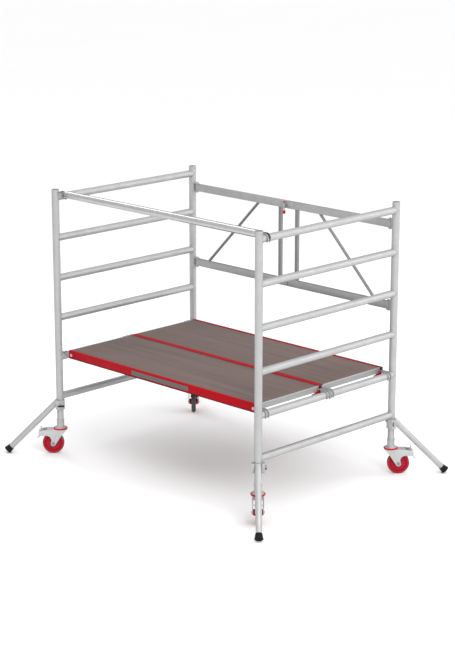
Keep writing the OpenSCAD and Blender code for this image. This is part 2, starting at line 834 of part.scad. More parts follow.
hook_ys = [hook_inset, deck_w - hook_inset - 3];
windlock_pivot = [-40, 25];

module deck_hooks(y0) {
  pin_y = hook_ys[1] - hook_w / 2;
  color(casting) {
    for (side = [LEFT, RIGHT], y = hook_ys) translate([0, y0 + y, 0]) on_rung(side, deck_rung_z)
      hook(deck_reach, side < 0 ? left_tip : right_tip, hook_w);
    // pin of the windlock
    translate([half_l + windlock_pivot.x, y0 + pin_y - 6, deck_rung_z + windlock_pivot.y])
      rod_y(lever_pin_r, 12);
  }
}

// Red windlock with its side lever
module deck_windlock(y0) {
  t = 8;
  y = hook_ys[1] - hook_w / 2 - apart - t / 2;
  color(red) translate([half_l, y0 + y, deck_rung_z]) {
    catch_plate(windlock_pivot, 235, t);
    translate([-43, 0, 0]) along_x(5) polygon([
      [t / 2, 8], [t / 2, 19], [-8.5, 20], [-8.5, 37], [-24, 17], [-68, 13], [-68, 6]
    ]);
  }
}

// Bolts through the webs into the end beams; flat rivet heads where the two decks meet
module deck_bolts(y0) {
  outer = y0 < -deck_w / 2 ? y0 : y0 + deck_w;
  seam = y0 < -deck_w / 2 ? y0 + deck_w : y0;
  out = outer < 0 ? -1 : 1;
  color(casting) for (s = [-1, 1]) translate([s * (deck_l / 2 - bolt_in), 0, deck_top_z - bolt_down]) {
    translate([0, outer, 0]) rotate([-90 * out, 0, 0]) cylinder(r = bolt_r, h = bolt_h, $fn = 6);
    translate([0, seam - out * rivet_h / 2, 0]) rod_y(bolt_r - 1, rivet_h);
  }
}

post(FRONT_LEFT);  // left_front_post
post(REAR_LEFT);  // left_rear_post
rungs(LEFT);  // left_rungs
fittings(LEFT);  // left_fittings
post(FRONT_RIGHT);  // right_front_post
post(REAR_RIGHT);  // right_rear_post
rungs(RIGHT);  // right_rungs
fittings(RIGHT);  // right_fittings
brace_left();
brace_right();
brace_pins();
lock_pin();
guard_rail();
guard_hooks();
guard_latch(LEFT);  // guard_latch_left
guard_latch(RIGHT);  // guard_latch_right
deck_beams(front_deck_y);  // front_deck_beams
deck_ends(front_deck_y);  // front_deck_ends
deck_board(front_deck_y);  // front_deck_board
deck_hooks(front_deck_y);  // front_deck_hooks
deck_bolts(front_deck_y);  // front_deck_bolts
deck_windlock(front_deck_y);  // front_deck_windlock
deck_beams(rear_deck_y);  // rear_deck_beams
deck_ends(rear_deck_y);  // rear_deck_ends
deck_board(rear_deck_y);  // rear_deck_board
deck_hooks(rear_deck_y);  // rear_deck_hooks
deck_bolts(rear_deck_y);  // rear_deck_bolts
deck_windlock(rear_deck_y);  // rear_deck_windlock
leg(FRONT_LEFT);  // leg_front_left
leg(FRONT_RIGHT);  // leg_front_right
leg(REAR_LEFT);  // leg_rear_left
leg(REAR_RIGHT);  // leg_rear_right
fork(FRONT_LEFT);  // fork_front_left
fork(FRONT_RIGHT);  // fork_front_right
fork(REAR_LEFT);  // fork_rear_left
fork(REAR_RIGHT);  // fork_rear_right
hub(FRONT_LEFT);  // hub_front_left
hub(FRONT_RIGHT);  // hub_front_right
hub(REAR_LEFT);  // hub_rear_left
hub(REAR_RIGHT);  // hub_rear_right
tyre(FRONT_LEFT);  // tyre_front_left
tyre(FRONT_RIGHT);  // tyre_front_right
tyre(REAR_LEFT);  // tyre_rear_left
tyre(REAR_RIGHT);  // tyre_rear_right
pedal(FRONT_LEFT);  // pedal_front_left
pedal(FRONT_RIGHT);  // pedal_front_right
pedal(REAR_LEFT);  // pedal_rear_left
pedal(REAR_RIGHT);  // pedal_rear_right
stabiliser(FRONT_LEFT);  // stabiliser_front_left
stabiliser(FRONT_RIGHT);  // stabiliser_front_right
stabiliser(REAR_LEFT);  // stabiliser_rear_left
stabiliser(REAR_RIGHT);  // stabiliser_rear_right
foot(FRONT_LEFT);  // foot_front_left
foot(FRONT_RIGHT);  // foot_front_right
foot(REAR_LEFT);  // foot_rear_left
foot(REAR_RIGHT);  // foot_rear_right
clamp_lever(FRONT_LEFT);  // clamp_lever_front_left
clamp_lever(FRONT_RIGHT);  // clamp_lever_front_right
clamp_lever(REAR_LEFT);  // clamp_lever_rear_left
clamp_lever(REAR_RIGHT);  // clamp_lever_rear_right
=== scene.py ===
"""Looks of the folding frame scaffold section: finishes, welds, castings and castors."""

import bpy
import bmesh
import json
import math
from mathutils import Matrix, Vector


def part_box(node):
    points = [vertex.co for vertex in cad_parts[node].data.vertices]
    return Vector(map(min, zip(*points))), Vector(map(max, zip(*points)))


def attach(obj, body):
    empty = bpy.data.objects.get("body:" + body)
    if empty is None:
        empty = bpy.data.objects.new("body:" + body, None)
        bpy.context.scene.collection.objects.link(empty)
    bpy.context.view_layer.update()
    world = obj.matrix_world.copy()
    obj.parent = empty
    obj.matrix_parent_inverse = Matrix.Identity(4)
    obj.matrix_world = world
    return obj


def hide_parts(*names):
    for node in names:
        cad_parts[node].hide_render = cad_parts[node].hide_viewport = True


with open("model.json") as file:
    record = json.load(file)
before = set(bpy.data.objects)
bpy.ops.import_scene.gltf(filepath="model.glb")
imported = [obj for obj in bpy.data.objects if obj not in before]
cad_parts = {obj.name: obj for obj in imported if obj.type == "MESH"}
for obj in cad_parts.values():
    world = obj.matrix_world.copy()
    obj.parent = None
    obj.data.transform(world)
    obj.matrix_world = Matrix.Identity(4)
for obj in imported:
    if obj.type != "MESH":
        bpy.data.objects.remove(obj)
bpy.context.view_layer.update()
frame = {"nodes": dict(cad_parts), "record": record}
nodes = frame["nodes"]
body_of_node = {
    node: body
    for body, members in frame["record"]["behaviour"]["bodies"].items()
    for node in members
}

CORNERS = {
    "front_left": (-1, -1),
    "front_right": (1, -1),
    "rear_left": (-1, 1),
    "rear_right": (1, 1),
}


# ---------------------------------------------------------------- camera and light

def place_camera():
    data = bpy.data.cameras.new("catalogue_camera")
    data.sensor_fit = "HORIZONTAL"
    data.sensor_width = 36
    data.lens = 149.93
    data.clip_end = 60
    camera = bpy.data.objects.new("catalogue_camera", data)
    right = Vector((0.7089, 0.7054, 0.0)).normalized()
    back = Vector((0.6820, -0.6854, 0.2553)).normalized()
    up = back.cross(right)
    turn = Matrix((right, up, back)).transposed().to_4x4()
    camera.matrix_world = Matrix.Translation((8.749, -8.749, 4.245)) @ turn
    bpy.context.scene.collection.objects.link(camera)
    bpy.context.scene.camera = camera


def soft_box(name, place, aim, size, watts):
    data = bpy.data.lights.new(name, "AREA")
    data.shape = "RECTANGLE"
    data.size, data.size_y = size
    data.energy = watts
    lamp = bpy.data.objects.new(name, data)
    lamp.location = place
    lamp.rotation_euler = (Vector(aim) - Vector(place)).to_track_quat("-Z", "Y").to_euler()
    bpy.context.scene.collection.objects.link(lamp)


def light_studio():
    """An even pale room, a little darker on the left so that tubes show their roundness."""
    world = bpy.data.worlds.new("studio_air")
    world.use_nodes = True
    tree = world.node_tree
    air = tree.nodes["Background"]
    where = tree.nodes.new("ShaderNodeTexCoord")
    toward = tree.nodes.new("ShaderNodeVectorMath")
    toward.operation = "DOT_PRODUCT"
    toward.inputs[1].default_value = (0.75, -0.35, 0.56)
    ramp = tree.nodes.new("ShaderNodeValToRGB")
    stops = ramp.color_ramp
    stops.elements[0].position = 0.0
    stops.elements[0].color = (0.24, 0.24, 0.25, 1)
    stops.elements[1].position = 1.0
    stops.elements[1].color = (1.0, 1.0, 1.0, 1)
    shift = math_node(tree, "MULTIPLY_ADD", toward.outputs["Value"], 0.5)
    shift.node.inputs[2].default_value = 0.5
    tree.links.new(where.outputs["Generated"], toward.inputs[0])
    tree.links.new(shift, ramp.inputs["Fac"])
    tree.links.new(ramp.outputs["Color"], air.inputs["Color"])
    air.inputs["Strength"].default_value = 1.42
    bpy.context.scene.world = world
    soft_box("key_light", (5.5, -2.5, 6.5), (0, 0, 0.8), (4, 4), 240)
    soft_box("side_light", (4.5, 5.0, 3.0), (0, 0, 0.9), (3, 4), 90)
    soft_box("top_strip", (-4.0, 0.3, 6.2), (0, -0.5, 1.6), (1.0, 5), 80)
    bpy.context.scene.view_settings.view_transform = "Standard"


# ---------------------------------------------------------------- shared finish groups

def new_group(name, inputs, outputs):
    """A node group with (socket name, kind, value) inputs and (socket name, kind) outputs."""
    group = bpy.data.node_groups.new(name, "ShaderNodeTree")
    for socket, kind, value in inputs:
        made = group.interface.new_socket(name=socket, in_out="INPUT", socket_type=kind)
        made.default_value = value
    for socket, kind in outputs:
        group.interface.new_socket(name=socket, in_out="OUTPUT", socket_type=kind)
    return group, group.nodes.new("NodeGroupInput"), group.nodes.new("NodeGroupOutput")


def math_node(tree, operation, a, b, clamp=False):
    node = tree.nodes.new("ShaderNodeMath")
    node.operation = operation
    node.use_clamp = clamp
    for socket, value in zip(node.inputs, (a, b)):
        if isinstance(value, (int, float)):
            socket.default_value = value
        else:
            tree.links.new(value, socket)
    return node.outputs[0]


def vector_scale(tree, vector, scale):
    node = tree.nodes.new("ShaderNodeVectorMath")
    node.operation = "MULTIPLY"
    tree.links.new(vector, node.inputs[0])
    tree.links.new(scale, node.inputs[1])
    return node.outputs[0]


def noise_node(tree, vector, scale, detail, rough=0.55):
    node = tree.nodes.new("ShaderNodeTexNoise")
    node.inputs["Scale"].default_value = scale
    node.inputs["Detail"].default_value = detail
    node.inputs["Roughness"].default_value = rough
    tree.links.new(vector, node.inputs["Vector"])
    return node.outputs["Fac"]


def mix_color(tree, factor, a, b):
    node = tree.nodes.new("ShaderNodeMix")
    node.data_type = "RGBA"
    for socket, value in ((node.inputs["Factor"], factor), (node.inputs["A"], a), (node.inputs["B"], b)):
        if isinstance(value, bpy.types.NodeSocket):
            tree.links.new(value, socket)
        elif isinstance(value, (int, float)):
            socket.default_value = value
        else:
            socket.default_value = (*value, 1)
    return node.outputs["Result"]


def build_drawn_lines():
    """Fine lines left by the extrusion die, with faint cloudy handling marks."""
    tree, given, made = new_group(
        "drawn_lines",
        [("Stretch", "NodeSocketVector", (900, 900, 6)), ("Light", "NodeSocketColor", (0.8, 0.8, 0.8, 1)),
         ("Dark", "NodeSocketColor", (0.6, 0.6, 0.6, 1)), ("Smooth", "NodeSocketFloat", 0.3),
         ("Rough", "NodeSocketFloat", 0.45)],
        [("Color", "NodeSocketColor"), ("Roughness", "NodeSocketFloat"), ("Height", "NodeSocketFloat")])
    where = tree.nodes.new("ShaderNodeTexCoord").outputs["Object"]
    lines = noise_node(tree, vector_scale(tree, where, given.outputs["Stretch"]), 1.0, 3)
    clouds = noise_node(tree, where, 14.0, 4)
    fine = math_node(tree, "MULTIPLY", lines, 0.45)
    both = math_node(tree, "ADD", fine, math_node(tree, "MULTIPLY", clouds, 0.55))
    mask = tree.nodes.new("ShaderNodeMapRange")
    mask.inputs["From Min"].default_value = 0.35
    mask.inputs["From Max"].default_value = 0.65
    tree.links.new(both, mask.inputs["Value"])
    color = mix_color(tree, mask.outputs[0], given.outputs["Light"], given.outputs["Dark"])
    tree.links.new(color, made.inputs["Color"])
    spread = math_node(tree, "SUBTRACT", given.outputs["Rough"], given.outputs["Smooth"])
    rise = math_node(tree, "MULTIPLY", mask.outputs[0], spread)
    rough = math_node(tree, "ADD", rise, given.outputs["Smooth"])
    tree.links.new(rough, made.inputs["Roughness"])
    tree.links.new(lines, made.inputs["Height"])
    return tree


def build_grain():
    """Even small grain, as on castings, powder coat, rubber and moulded plastic."""
    tree, given, made = new_group(
        "even_grain",
        [("Grain per metre", "NodeSocketFloat", 900.0), ("Light", "NodeSocketColor", (0.8, 0.8, 0.8, 1)),
         ("Dark", "NodeSocketColor", (0.6, 0.6, 0.6, 1)), ("Smooth", "NodeSocketFloat", 0.3),
         ("Rough", "NodeSocketFloat", 0.45)],
        [("Color", "NodeSocketColor"), ("Roughness", "NodeSocketFloat"), ("Height", "NodeSocketFloat")])
    where = tree.nodes.new("ShaderNodeTexCoord").outputs["Object"]
    fine = tree.nodes.new("ShaderNodeTexNoise")
    fine.inputs["Detail"].default_value = 2
    tree.links.new(where, fine.inputs["Vector"])
    tree.links.new(given.outputs["Grain per metre"], fine.inputs["Scale"])
    clouds = noise_node(tree, where, 22.0, 5)
    color = mix_color(tree, clouds, given.outputs["Light"], given.outputs["Dark"])
    tree.links.new(color, made.inputs["Color"])
    spread = math_node(tree, "SUBTRACT", given.outputs["Rough"], given.outputs["Smooth"])
    rough = math_node(tree, "ADD", math_node(tree, "MULTIPLY", clouds, spread), given.outputs["Smooth"])
    tree.links.new(rough, made.inputs["Roughness"])
    tree.links.new(fine.outputs["Fac"], made.inputs["Height"])
    return tree


def build_edge_wear():
    """Mask of rubbed outer edges, broken up by noise."""
    tree, given, made = new_group(
        "rubbed_edges", [("Amount", "NodeSocketFloat", 0.5)], [("Mask", "NodeSocketFloat")])
    shape = tree.nodes.new("ShaderNodeNewGeometry").outputs["Pointiness"]
    edge = tree.nodes.new("ShaderNodeMapRange")
    edge.inputs["From Min"].default_value = 0.54
    edge.inputs["From Max"].default_value = 0.62
    tree.links.new(shape, edge.inputs["Value"])
    where = tree.nodes.new("ShaderNodeTexCoord").outputs["Object"]
    broken = noise_node(tree, where, 60.0, 4)
    mask = math_node(tree, "MULTIPLY", edge.outputs[0], broken)
    tree.links.new(math_node(tree, "MULTIPLY", mask, given.outputs["Amount"], True), made.inputs["Mask"])
    return tree


DRAWN_LINES = build_drawn_lines()
EVEN_GRAIN = build_grain()
RUBBED_EDGES = build_edge_wear()


def place_group(tree, group, values):
    node = tree.nodes.new("ShaderNodeGroup")
    node.node_tree = group
    for name, value in values.items():
        node.inputs[name].default_value = value
    return node


def new_material(name):
    material = bpy.data.materials.new(name)
    material.use_nodes = True
    return material, material.node_tree, material.node_tree.nodes["Principled BSDF"]


def add_bump(tree, shader, height, strength, distance):
    bump = tree.nodes.new("ShaderNodeBump")
    bump.inputs["Strength"].default_value = strength
    bump.inputs["Distance"].default_value = distance
    tree.links.new(height, bump.inputs["Height"])
    tree.links.new(bump.outputs["Normal"], shader.inputs["Normal"])


def drawn_aluminium(name, stretch, light, dark, smooth, rough, metallic, darker_band=None):
    """Painted shade: the base colour darkens toward the edges that turn away from the view. The last argument,
    if given, is (low, high): between these heights the tubes are darker still.
    """
    material, tree, shader = new_material(name)
    lines = place_group(tree, DRAWN_LINES, {
        "Stretch": stretch, "Light": (*light, 1), "Dark": (*dark, 1), "Smooth": smooth, "Rough": rough})
    # Painted shade: the facing weight darkens the base colour toward the edges that turn away from the view,
    # in place of darker reflections at grazing angles.
    painted_edge_shade = tree.nodes.new("ShaderNodeLayerWeight")
    painted_edge_shade.inputs["Blend"].default_value = 0.35
    shade = math_node(tree, "MULTIPLY", math_node(tree, "POWER", painted_edge_shade.outputs["Facing"], 2.2), 0.75, True)
    # Between the given heights the tubes are made darker, added to the painted edge shade.
    if darker_band:
        split = tree.nodes.new("ShaderNodeSeparateXYZ")
        tree.links.new(tree.nodes.new("ShaderNodeTexCoord").outputs["Object"], split.inputs[0])
        above = math_node(tree, "GREATER_THAN", split.outputs["Z"], darker_band[0])
        below = math_node(tree, "LESS_THAN", split.outputs["Z"], darker_band[1])
        between = math_node(tree, "MULTIPLY", above, below)
        shade = math_node(tree, "ADD", shade, math_node(tree, "MULTIPLY", between, 0.6), True)
    color = mix_color(tree, shade, lines.outputs["Color"], (0.13, 0.132, 0.135))
    tree.links.new(color, shader.inputs["Base Color"])
    tree.links.new(lines.outputs["Roughness"], shader.inputs["Roughness"])
    shader.inputs["Metallic"].default_value = metallic
    add_bump(tree, shader, lines.outputs["Height"], 0.12, 0.0002)
    return material


def grained(name, light, dark, smooth, rough, grain=900.0, bump=0.2, metallic=0.0, worn=None, gloss=0.5):
    """worn is (colour, amount) where the rubbed edges show another colour."""
    material, tree, shader = new_material(name)
    base = place_group(tree, EVEN_GRAIN, {
        "Grain per metre": grain, "Light": (*light, 1), "Dark": (*dark, 1), "Smooth": smooth, "Rough": rough})
    color = base.outputs["Color"]
    if worn:
        edges = place_group(tree, RUBBED_EDGES, {"Amount": worn[1]})
        color = mix_color(tree, edges.outputs["Mask"], color, worn[0])
    tree.links.new(color, shader.inputs["Base Color"])
    tree.links.new(base.outputs["Roughness"], shader.inputs["Roughness"])
    shader.inputs["Metallic"].default_value = metallic
    shader.inputs["Specular IOR Level"].default_value = gloss
    add_bump(tree, shader, base.outputs["Height"], bump, 0.0002)
    return material


def film_faced_board():
    """Brown phenolic film with the fine ribs of a non-slip face and long streaks."""
    material, tree, shader = new_material("film_faced_board")
    where = tree.nodes.new("ShaderNodeTexCoord").outputs["Object"]
    mapping = tree.nodes.new("ShaderNodeMapping")
    mapping.inputs["Scale"].default_value = (1.1, 85, 85)
    tree.links.new(where, mapping.inputs["Vector"])
    streaks = noise_node(tree, mapping.outputs[0], 1.0, 5, 0.6)
    wide = tree.nodes.new("ShaderNodeMapping")
    wide.inputs["Scale"].default_value = (0.5, 9, 9)
    tree.links.new(where, wide.inputs["Vector"])
    bands = noise_node(tree, wide.outputs[0], 1.0, 3)
    narrow = math_node(tree, "MULTIPLY", streaks, 0.72)
    both = math_node(tree, "ADD", narrow, math_node(tree, "MULTIPLY", bands, 0.28))
    spread = tree.nodes.new("ShaderNodeMapRange")
    spread.inputs["From Min"].default_value = 0.36
    spread.inputs["From Max"].default_value = 0.56
    tree.links.new(both, spread.inputs["Value"])
    color = mix_color(tree, spread.outputs[0], (0.078, 0.056, 0.050), (0.158, 0.112, 0.100))
    tree.links.new(color, shader.inputs["Base Color"])
    rough = math_node(tree, "ADD", math_node(tree, "MULTIPLY", spread.outputs[0], 0.15), 0.48)
    tree.links.new(rough, shader.inputs["Roughness"])
    ribs = tree.nodes.new("ShaderNodeTexWave")
    ribs.wave_type = "BANDS"
    ribs.bands_direction = "DIAGONAL"
    ribs.inputs["Scale"].default_value = 120
    ribs.inputs["Distortion"].default_value = 0.4
    tree.links.new(where, ribs.inputs["Vector"])
    shader.inputs["Specular IOR Level"].default_value = 0.3
    add_bump(tree, shader, ribs.outputs["Fac"], 0.25, 0.0004)
    return material


# metres
RUNGS = 6
BRACE_LOW, BRACE_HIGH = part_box("brace_left")
BRACE_RAIL = 0.050
BRACE_TOP, BRACE_BOTTOM = 1.716, 1.165
BRACE_LINE = 0.645
WHEEL_TRAIL, WHEEL_RADIUS = 0.052, 0.075
LIGHT_ALU, DARK_ALU = (0.43, 0.432, 0.435), (0.385, 0.387, 0.39)
FINISH = {
    "post": drawn_aluminium("aluminium_drawn_upright", (700, 700, 5), LIGHT_ALU, DARK_ALU, 0.42, 0.54, 0.45),
    "rung": drawn_aluminium("aluminium_drawn_across", (700, 5, 700), LIGHT_ALU, DARK_ALU, 0.42, 0.54, 0.45),
    "rail": drawn_aluminium("aluminium_drawn_along", (5, 700, 700), (0.56, 0.562, 0.565), (0.48, 0.482, 0.485),
                            0.20, 0.28, 0.9),
    "brace": drawn_aluminium("aluminium_brace", (5, 600, 600), (0.38, 0.382, 0.385), (0.34, 0.342, 0.345),
                             0.42, 0.54, 0.5, (BRACE_LOW.z + BRACE_RAIL, BRACE_HIGH.z - BRACE_RAIL)),
    "casting": grained("aluminium_casting", (0.40, 0.402, 0.405), (0.33, 0.332, 0.335), 0.45, 0.60,
                       grain=1400, bump=0.35, metallic=0.5),
    "zinc": grained("zinc_plated_steel", (0.52, 0.525, 0.53), (0.45, 0.455, 0.46), 0.32, 0.44,
                    grain=500, bump=0.08, metallic=0.6),
    "weld": grained("weld_bead", (0.44, 0.445, 0.45), (0.35, 0.355, 0.36), 0.38, 0.55,
                    grain=2200, bump=0.4, metallic=0.6),
    "red_coat": grained("red_powder_coat", (0.37, 0.0025, 0.0085), (0.32, 0.002, 0.007), 0.38, 0.50,
                        grain=1500, bump=0.12, worn=((0.40, 0.04, 0.04), 0.25), gloss=0.06),
    "red_plastic": grained("red_moulded_plastic", (0.50, 0.004, 0.012), (0.43, 0.003, 0.010), 0.36, 0.48,
                           grain=1200, bump=0.1, gloss=0.15),
    "red_disc": grained("red_moulded_disc", (0.36, 0.012, 0.035), (0.31, 0.010, 0.030), 0.42, 0.54,
                        grain=1200, bump=0.12, gloss=0.15),
    "tread": grained("grey_tread", (0.060, 0.074, 0.072), (0.040, 0.050, 0.048), 0.55, 0.7,
                     grain=800, bump=0.3),
    "rubber": grained("black_rubber", (0.010, 0.0092, 0.0092), (0.006, 0.0056, 0.0056), 0.60, 0.78,
                      grain=900, bump=0.4, gloss=0.2),
    "black": grained("black_moulded_plastic", (0.016, 0.016, 0.0165), (0.010, 0.010, 0.0105), 0.42, 0.55,
                     grain=1100, bump=0.25, gloss=0.3),
    "bolt": grained("zinc_bolt", (0.30, 0.305, 0.31), (0.24, 0.245, 0.25), 0.30, 0.42,
                    grain=500, bump=0.08, metallic=0.85),
    "board": film_faced_board(),
    "label": grained("bare_label_film", (0.105, 0.112, 0.112), (0.090, 0.096, 0.096), 0.38, 0.48,
                     grain=300, bump=0.05, gloss=0.25),
}


# ---------------------------------------------------------------- shaping helpers

def finish_piece(piece, body, finish, smooth=True):
    """Links a made piece, gives it its finish, and hangs it on its body."""
    if piece.name not in bpy.context.scene.collection.objects:
        bpy.context.scene.collection.objects.link(piece)
    piece.data.materials.clear()
    piece.data.materials.append(FINISH[finish])
    if smooth:
        piece.data.shade_smooth()
        piece.data.set_sharp_from_angle(angle=math.radians(32))
    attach(piece, body)


def coat_node(node, finish):
    """Gives a CAD node that stays as it is its finish."""
    nodes[node].data.materials.clear()
    nodes[node].data.materials.append(FINISH[finish])


def mesh_piece(name, mesh_builder):
    mesh = bpy.data.meshes.new(name)
    shape = bmesh.new()
    mesh_builder(shape)
    bmesh.ops.recalc_face_normals(shape, faces=shape.faces)
    shape.to_mesh(mesh)
    shape.free()
    return bpy.data.objects.new(name, mesh)


def eased_copy(node, finish, width=0.0008, segments=2, pieces=None, suffix="eased"):
    """The CAD shape with its sharp edges eased. pieces picks loose parts by a test on their centre."""
    source = nodes[node]
    shape = bmesh.new()
    shape.from_mesh(source.data)
    bmesh.ops.remove_doubles(shape, verts=shape.verts, dist=1e-6)
    if pieces:
        drop = [v for part in loose_parts(shape) if not pieces(part) for v in part]
        bmesh.ops.delete(shape, geom=drop, context="VERTS")
    bmesh.ops.dissolve_limit(
        shape, angle_limit=math.radians(0.6), use_dissolve_boundaries=False,
        verts=shape.verts, edges=shape.edges)
    mesh = bpy.data.meshes.new(f"{node}_{suffix}")
    shape.to_mesh(mesh)
    shape.free()
    piece = bpy.data.objects.new(f"{node}_{suffix}", mesh)
    bpy.context.scene.collection.objects.link(piece)
    bevel = piece.modifiers.new("eased_edges", "BEVEL")
    bevel.width = width
    bevel.segments = segments
    bevel.limit_method = "ANGLE"
    bevel.angle_limit = math.radians(34)
    apply_modifiers(piece)
    finish_piece(piece, body_of_node[node], finish)
    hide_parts(node)


def loose_parts(shape):
    """Lists of vertices, one list for each loose part."""
    left = set(shape.verts)
    parts = []
    while left:
        start = left.pop()
        part, edge = [start], [start]
        while edge:
            for link in edge.pop().link_edges:
                for v in link.verts:
                    if v in left:
                        left.discard(v)
                        part.append(v)
                        edge.append(v)
        parts.append(part)
    return parts


def apply_modifiers(piece):
    bpy.context.view_layer.update()
    ready = piece.evaluated_get(bpy.context.evaluated_depsgraph_get())
    mesh = bpy.data.meshes.new_from_object(ready)
    old = piece.data
    piece.modifiers.clear()
    piece.data = mesh
    name = old.name
    bpy.data.meshes.remove(old)
    mesh.name = name


def sweep(shape, path, radius, sides=10, closed=True, ripple=0.0):
    """A round bead along path, points in metres; ripple is the share that its size varies."""
    count = len(path)
    rings = []
    for i, point in enumerate(path):
        before = path[i - 1] if closed or i else path[i]
        after = path[(i + 1) % count] if closed or i < count - 1 else path[i]
        along = (after - before).normalized()
        side = along.orthogonal().normalized()
        if i:
            last_side = rings[-1][1]
            side = (last_side - along * last_side.dot(along)).normalized()
        over = along.cross(side)
        size = radius * (1 + ripple * (math.sin(i * 2.1) * 0.6 + math.sin(i * 0.7) * 0.4))
        ring = [
            shape.verts.new(point + size * (math.cos(a) * side + math.sin(a) * over))
            for a in (2 * math.pi * k / sides for k in range(sides))
        ]
        rings.append((ring, side))
    last = count if closed else count - 1
    for i in range(last):
        a, b = rings[i][0], rings[(i + 1) % count][0]
        shift = 0
        if closed and i == count - 1:
            shift = min(range(sides), key=lambda s: (a[0].co - b[s].co).length)
        for k in range(sides):
            shape.faces.new((a[k], a[(k + 1) % sides], b[(k + 1 + shift) % sides], b[(k + shift) % sides]))
    if not closed:
        shape.faces.new(list(reversed(rings[0][0])))
        shape.faces.new(rings[-1][0])


def turned(shape, profile, place, axis, steps=64):
    """A turned shape: profile is (radius, height) pairs in metres along axis from place."""
    axis = Vector(axis).normalized()
    side = axis.orthogonal().normalized()
    over = axis.cross(side)
    place = Vector(place)
    rings = []
    for radius, height in profile:
        if radius < 1e-7:
            rings.append([shape.verts.new(place + axis * height)])
            continue
        rings.append([
            shape.verts.new(place + axis * height + radius * (math.cos(a) * side + math.sin(a) * over))
            for a in (2 * math.pi * k / steps for k in range(steps))
        ])
    for a, b in zip(rings, rings[1:]):
        for k in range(steps):
            n = (k + 1) % steps
            if len(a) == 1 and len(b) == 1:
                continue
            if len(a) == 1:
                shape.faces.new((a[0], b[n], b[k]))
            elif len(b) == 1:
                shape.faces.new((a[k], a[n], b[0]))
            else:
                shape.faces.new((a[k], a[n], b[n], b[k]))


def rounded_profile(points, radius, steps=3):
    """The open profile with its inner corners rounded."""
    out = [points[0]]
    for before, here, after in zip(points, points[1:], points[2:]):
        b, h, a = Vector(before), Vector(here), Vector(after)
        reach = min(radius, (b - h).length * 0.45, (a - h).length * 0.45)
        start, end = h + (b - h).normalized() * reach, h + (a - h).normalized() * reach
        for k in range(steps + 1):
            t = k / steps
            out.append(tuple(start.lerp(h, t).lerp(h.lerp(end, t), t)))
    out.append(points[-1])
    return out


# ---------------------------------------------------------------- frames

def frame_pieces(side):
    coat_node(f"{side}_front_post", "post")
    coat_node(f"{side}_rear_post", "post")
    coat_node(f"{side}_rungs", "rung")
    eased_copy(f"{side}_fittings", "casting", 0.0012)
    low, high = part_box(f"{side}_rungs")
    rung_r = (high.x - low.x) / 2
    first, last = low.z + rung_r, high.z - rung_r
    x0 = (low.x + high.x) / 2
    post_low, post_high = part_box(f"{side}_front_post")
    post_r = (post_high.x - post_low.x) / 2
    front_y = (post_low.y + post_high.y) / 2

    def beads(shape):
        for i in range(RUNGS):
            z0 = first + (last - first) * i / (RUNGS - 1)
            for s in (-1, 1):
                y0 = s * abs(front_y)
                path = []
                r = rung_r + 0.0008
                for a in (2 * math.pi * k / 56 for k in range(56)):
                    x, z = r * math.cos(a), r * math.sin(a)
                    y = math.sqrt(max(post_r ** 2 - x ** 2, 0.0)) + 0.0006
                    path.append(Vector((x0 + x, y0 - s * y, z0 + z)))
                sweep(shape, path, 0.0024, 8, True, 0.22)

    piece = mesh_piece(f"{side}_frame_welds", beads)
    finish_piece(piece, f"{side}_frame", "weld")


def corner_place(sx, sy):
    """Corner frame: origin on the floor under the post, local X pointing diagonally out."""
    low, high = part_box(f"{'left' if sx < 0 else 'right'}_{'front' if sy < 0 else 'rear'}_post")
    base = Vector(((low.x + high.x) / 2, (low.y + high.y) / 2, 0))
    return Matrix.Translation(base) @ Matrix.Rotation(math.atan2(sy, sx), 4, "Z")


# ---------------------------------------------------------------- castors

